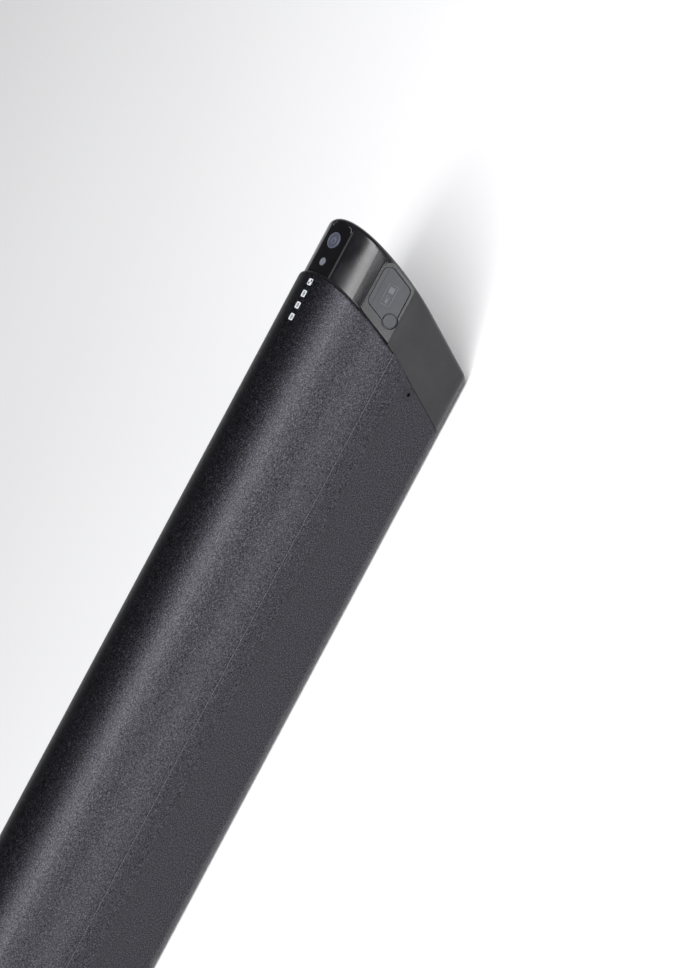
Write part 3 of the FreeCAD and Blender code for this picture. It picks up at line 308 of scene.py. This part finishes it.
def make_materials():
    steel = (0.62, 0.62, 0.63)
    return {
        "powder_coat": powder_coat(),
        "cap_plastic": satin_plastic("cap_plastic", (0.004, 0.004, 0.0055), 0.25),
        "panel_gloss": gloss_black(),
        "button_grey": button_face(),
        "white_plastic": satin_plastic("white_plastic", (0.55, 0.55, 0.53), 0.4),
        "smoked_lens": milky("smoked_lens", (0.15, 0.16, 0.19)),
        "light_window": milky("light_window", (0.62, 0.62, 0.65)),
        "circuit_board": board(),
        "dark_plastic": satin_plastic("dark_plastic", (0.014, 0.014, 0.016), 0.42),
        "flap_rubber": rubber("flap_rubber", (0.030, 0.031, 0.036), 0.5),
        "gasket_rubber": rubber("gasket_rubber", (0.006, 0.006, 0.006), 0.7),
        "bright_steel": metal("bright_steel", steel, 0.28),
        "black_screw": metal("black_screw", (0.05, 0.05, 0.055), 0.38, (8, 8, 1)),
        "contact_brass": metal("contact_brass", (0.80, 0.62, 0.30), 0.22),
        "cell_can": satin_plastic("cell_can", (0.035, 0.14, 0.30), 0.35),
        "nickel": metal("nickel", (0.70, 0.68, 0.64), 0.30),
        "insulating_sheet": paper("insulating_sheet", (0.36, 0.31, 0.20)),
        "foam": rubber("foam", (0.05, 0.05, 0.05), 0.9),
        "plain_aluminium": metal("plain_aluminium", (0.72, 0.72, 0.74), 0.34, (12, 1, 1)),
        "red_lead": rubber("red_lead", (0.45, 0.012, 0.010), 0.45),
        "black_lead": rubber("black_lead", (0.010, 0.010, 0.010), 0.45),
        "white_lead": rubber("white_lead", (0.55, 0.55, 0.55), 0.45),
    }


def dress_nodes(materials):
    for entry in record["subparts"]:
        mesh = nodes[entry["node"]].data
        mesh.materials.clear()
        mesh.materials.append(materials[entry["material_slot"]])


# --- mesh helpers -----------------------------------------------------------------------------


def finish_piece(name, bm, material, body):
    """Makes the mesh an object that rides on a body and takes the material it is given."""
    mesh = bpy.data.meshes.new(name)
    bmesh.ops.recalc_face_normals(bm, faces=bm.faces[:])
    for face in bm.faces:
        face.smooth = True
    bm.to_mesh(mesh)
    bm.free()
    mesh.materials.append(material)
    made = bpy.data.objects.new(name, mesh)
    bpy.context.scene.collection.objects.link(made)
    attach(made, body)


def add_tube(bm, points, radius, closed=False, sides=10, up=Vector((0, 0, 1))):
    """A round bar through points, with round ends when it is open."""
    count = len(points)
    rings = []
    for i, point in enumerate(points):
        before = points[(i - 1) % count] if closed or i else point
        after = points[(i + 1) % count] if closed or i < count - 1 else point
        along = (after - before).normalized()
        side = along.cross(up).normalized()
        lift = side.cross(along).normalized()
        rings.append([
            bm.verts.new(point + (side * math.cos(a) + lift * math.sin(a)) * radius)
            for a in (2 * math.pi * k / sides for k in range(sides))
        ])
    last = count if closed else count - 1
    for i in range(last):
        a, b = rings[i], rings[(i + 1) % count]
        for k in range(sides):
            bm.faces.new((a[k], a[(k + 1) % sides], b[(k + 1) % sides], b[k]))
    if not closed:
        ends = ((rings[0], points[0], points[1]), (rings[-1], points[-1], points[-2]))
        for ring, end, inner in ends:
            cap = bm.verts.new(end + (end - inner).normalized() * radius * 0.6)
            for k in range(sides):
                bm.faces.new((ring[k], ring[(k + 1) % sides], cap))


def add_plate(bm, outline, place, low_w, high_w, bevel):
    """A flat plate with a bevelled top edge. place(x, v, w) gives a point in the row's frame."""
    count = len(outline)
    cx = sum(p[0] for p in outline) / count
    cv = sum(p[1] for p in outline) / count
    layers = []
    shoulder = bevel * 0.3
    steps = ((low_w, 0.0), (high_w - bevel, 0.0), (high_w - shoulder, shoulder), (high_w, bevel))
    for w, inset in steps:
        ring = []
        for i, (x, v) in enumerate(outline):
            (ax, av), (bx, bv) = outline[i - 1], outline[(i + 1) % count]
            tangent = Vector((bx - ax, bv - av)).normalized()
            normal = Vector((-tangent.y, tangent.x))
            ring.append(bm.verts.new(place(x + normal.x * inset, v + normal.y * inset, w)))
        layers.append(ring)
    for a, b in zip(layers, layers[1:]):
        for k in range(count):
            bm.faces.new((a[k], a[(k + 1) % count], b[(k + 1) % count], b[k]))
    for ring, w in ((layers[0], low_w), (layers[-1], high_w)):
        hub = bm.verts.new(place(cx, cv, w))
        for k in range(count):
            bm.faces.new((ring[k], ring[(k + 1) % count], hub))


def round_box(x0, x1, v0, v1, radius, steps=6):
    """A rounded rectangle's outline, anticlockwise."""
    points = []
    corners = ((x1 - radius, v0 + radius, -90), (x1 - radius, v1 - radius, 0),
               (x0 + radius, v1 - radius, 90), (x0 + radius, v0 + radius, 180))
    for cx, cv, start in corners:
        for i in range(steps + 1):
            a = math.radians(start + 90 * i / steps)
            points.append((cx + radius * math.cos(a), cv + radius * math.sin(a)))
    return points


def on_pad(x, v, w):
    """A point on the port pad: x along the pack from the port's centre, v up the pad, w out of it."""
    return PAD_CENTRE + PAD_X * x + PAD_V * v + PAD_W * w


# --- pieces -----------------------------------------------------------------------------------


def flap_sign(material):
    """The raised battery sign in the middle of the flap."""
    long, wide, line = 10.2 * MM, 4.8 * MM, 0.66 * MM
    rise, root, margin = 0.36 * MM, -0.2 * MM, 0.9 * MM
    cx, cv = 1.0 * MM, 0.5 * MM
    bm = bmesh.new()
    path = round_box(cx - long / 2, cx + long / 2, cv - wide / 2, cv + wide / 2, 0.8 * MM)
    add_tube(bm, [on_pad(x, v, 0.02 * MM) for x, v in path], line / 2, closed=True, up=PAD_W)
    inner = wide / 2 - margin
    charge = round_box(cx + 0.8 * MM, cx + long / 2 - margin, cv - inner, cv + inner, 0.4 * MM)
    add_plate(bm, charge, on_pad, root, rise, 0.1 * MM)
    foot = round_box(cx - long / 2 + 1.0 * MM, cx - 1.9 * MM, cv - 0.7 * MM, cv + 0.7 * MM, 0.3 * MM)
    add_plate(bm, foot, on_pad, root, rise * 0.6, 0.08 * MM)
    ring = circle(cx - 0.9 * MM, cv + 0.1 * MM, 0.75 * MM, 0.75 * MM, 20)
    add_tube(bm, [on_pad(x, v, 0) for x, v in ring], 0.26 * MM, closed=True, up=PAD_W)
    finish_piece("flap_sign", bm, material, "flap")


def arc_points(centre, radius, start, end, steps, height):
    """A level arc's points, from one angle in degrees to another."""
    turns = [math.radians(start + (end - start) * i / steps) for i in range(steps + 1)]
    return [Vector((centre.x + radius * math.cos(a), centre.y + radius * math.sin(a), height)) for a in turns]


def button_marks(pale):
    """A thin rim on the button and a plain on-off sign, a broken ring and a bar."""
    top = high("power_button", 2)
    line = 0.16 * MM
    flange = 1.0 * MM                # the button's hidden flange, wider than its face
    inset = 0.22 * MM                # from the face's edge to the rim
    radius = (high("power_button", 0) - low("power_button", 0)) / 2 - flange
    bm = bmesh.new()
    rim = arc_points(BUTTON, radius - inset, 0, 360, 48, top - 0.03 * MM)[:-1]
    add_tube(bm, rim, line, closed=True)
    finish_piece("button_rim", bm, pale, "button")
    bm = bmesh.new()
    dip = top - 0.20 * MM
    bar = [Vector((BUTTON.x + x * MM, BUTTON.y, dip)) for x in (0.3, 1.0, 1.9)]
    add_tube(bm, arc_points(BUTTON, 1.55 * MM, 35, 325, 30, dip), line)
    add_tube(bm, bar, line)
    finish_piece("button_sign", bm, pale, "button")


def crown_z(node, y):
    """Height of the crown over a node whose top is at y = 0, at another y. The crown arcs share a centre."""
    radius = high(node, 2) - CROWN_CENTRE
    return CROWN_CENTRE + math.sqrt(radius * radius - y * y)


def panel_highlight_line(material):
    """A fine pale line round the control panel: a painted highlight on its edge."""
    x0, x1 = low("control_panel", 0), high("control_panel", 0)
    half = high("control_panel", 1)
    inset, run_on = 0.12 * MM, 6 * MM
    path = round_box(x0 - run_on, x1 - inset, -half + inset, half - inset, 2.4 * MM, 8)
    # The outline runs on under the cover, so only its points past the cover's edge are kept,
    # and the tube starts after the gap that this leaves.
    edge = high("housing_cover", 0) + 0.6 * MM
    points = [Vector((x, v, crown_z("control_panel", v) - 0.02 * MM)) for x, v in path if x > edge]
    start = max(range(len(points)), key=lambda i: (points[i] - points[i - 1]).length)
    bm = bmesh.new()
    add_tube(bm, points[start:] + points[:start], 0.14 * MM)
    finish_piece("panel_highlight_line", bm, material, "pack")


def lens_highlight_ring(material):
    """A fine pale ring round the status lens: a painted highlight on its edge."""
    radius = (high("status_lens", 0) - low("status_lens", 0)) / 2 + 0.12 * MM
    ring = arc_points(LENS_AT, radius, 0, 360, 40, high("status_lens", 2) - 0.10 * MM)[:-1]
    bm = bmesh.new()
    add_tube(bm, ring, 0.13 * MM, closed=True)
    finish_piece("lens_highlight_ring", bm, material, "pack")


def circle(cx, cy, radius_x, radius_y, steps, skew=0.0):
    """An ellipse's points, leaned along x by skew."""
    turns = [2 * math.pi * i / steps for i in range(steps)]
    return [(cx + radius_x * math.cos(a) + skew * math.sin(a), cy + radius_y * math.sin(a)) for a in turns]


def window_marks(material):
    """Small dark signs on the four charge windows: a pair of dots on the first, a loop on the others."""
    top = high("light_guide", 2)

    def on_window(x, y, z):
        return Vector((x, y, top + z))

    for i in range(4):
        x = FIRST_WINDOW - i * WINDOW_PITCH
        bm = bmesh.new()
        if i == 0:
            for side in (1, -1):
                dot = circle(x + side * 0.65 * MM, -side * 0.62 * MM, 0.62 * MM, 0.50 * MM, 16)
                add_plate(bm, dot, on_window, -0.05 * MM, 0.06 * MM, 0.02 * MM)
        else:
            line, sunk = 0.17 * MM, -0.06 * MM
            loop = circle(x, 0, 0.95 * MM, 0.62 * MM, 24, 0.25 * MM)
            bar = [on_window(x + dx * MM, -dx * 0.6 * MM, sunk) for dx in (-0.45, 0, 0.45)]
            add_tube(bm, [on_window(px, py, sunk) for px, py in loop], line, closed=True, sides=8)
            add_tube(bm, bar, line, sides=8)
        finish_piece(f"window_mark_{i + 1}", bm, material, "pack")


# --- stage ------------------------------------------------------------------------------------


def floor():
    """A pale sheet under the pack."""
    mesh = bpy.data.meshes.new("floor")
    corners = [(x * FLOOR_HALF, y * FLOOR_HALF, 0) for x, y in ((-1, -1), (1, -1), (1, 1), (-1, 1))]
    mesh.from_pydata(corners, [], [(0, 1, 2, 3)])
    made = bpy.data.objects.new("floor", mesh)
    made.location.z = -FLOOR_DROP
    bpy.context.scene.collection.objects.link(made)
    s = Shader("floor_paper")
    shade = s.ramp(s.noise(0.6, 2), (0.3, (0.86, 0.86, 0.87)), (0.7, (0.89, 0.89, 0.90)))
    s.link(shade, s.bsdf.inputs["Base Color"])
    s.set(Roughness=0.9, Specular_IOR_Level=0.2)
    mesh.materials.append(s.material)


def softbox(name, angle, distance, wide, power):
    """A soft light along the pack. angle is from straight up, towards the port side."""
    light = bpy.data.lights.new(name, "AREA")
    light.shape = "RECTANGLE"
    light.size = LIGHT_LONG
    light.size_y = wide
    light.energy = power
    made = bpy.data.objects.new(name, light)
    a = math.radians(angle)
    away = Vector((0, -math.sin(a), math.cos(a)))
    place = Vector((LIGHT_SHIFT, 0, LIGHT_HEIGHT)) + away * distance
    x = Vector((1, 0, 0))
    turn = Matrix((x, away.cross(x), away)).transposed().to_4x4()
    made.matrix_world = Matrix.Translation(place) @ turn
    bpy.context.scene.collection.objects.link(made)


def world():
    made = bpy.data.worlds.new("studio")
    made.use_nodes = True
    background = made.node_tree.nodes["Background"]
    background.inputs["Color"].default_value = (0.95, 0.96, 1.0, 1)
    background.inputs["Strength"].default_value = 0.05
    bpy.context.scene.world = made


def lights():
    softbox("top_light", angle=26, distance=1.3, wide=0.45, power=34)
    softbox("front_light", angle=79, distance=1.5, wide=0.38, power=20)
    world()
    bpy.context.scene.view_settings.view_transform = "Standard"


def camera():
    data = bpy.data.cameras.new("camera")
    data.lens = LENS
    data.sensor_width = SENSOR
    data.clip_end = 50
    toward = Vector((0, -math.cos(ELEVATION), math.sin(ELEVATION)))
    up = Vector((0, math.sin(ELEVATION), math.cos(ELEVATION)))
    along = Vector((1, 0, 0))
    button = Vector((BUTTON.x, 0, high("power_button", 2)))
    aim = along * (button.x - AIM_BACK) + up * (button.dot(up) - AIM_DOWN) + toward * AIM_NEAR
    right = along * math.sin(ROLL) - up * math.cos(ROLL)
    top = along * math.cos(ROLL) + up * math.sin(ROLL)
    distance = VIEW_HEIGHT * LENS / SENSOR
    made = bpy.data.objects.new("camera", data)
    made.matrix_world = (Matrix.Translation(aim + toward * distance)
                         @ Matrix((right, top, toward)).transposed().to_4x4())
    bpy.context.scene.collection.objects.link(made)
    bpy.context.scene.camera = made


def main():
    materials = make_materials()
    dress_nodes(materials)
    # pale plastic for thin lines along edges: painted highlights where edges catch the light
    edge = satin_plastic("painted_highlight_edge", (0.09, 0.092, 0.10), 0.2)
    pale = satin_plastic("button_print", (0.10, 0.108, 0.14), 0.35)
    # the sign's rubber is paler than the flap's: painted highlight for the light on its raised edges
    sign_highlight_rubber = rubber("sign_painted_highlight_rubber", (0.062, 0.063, 0.072), 0.42)
    ink = satin_plastic("window_ink", (0.006, 0.006, 0.007), 0.4)
    flap_sign(sign_highlight_rubber)
    button_marks(pale)
    panel_highlight_line(edge)
    lens_highlight_ring(edge)
    window_marks(ink)
    floor()
    lights()
    camera()


main()
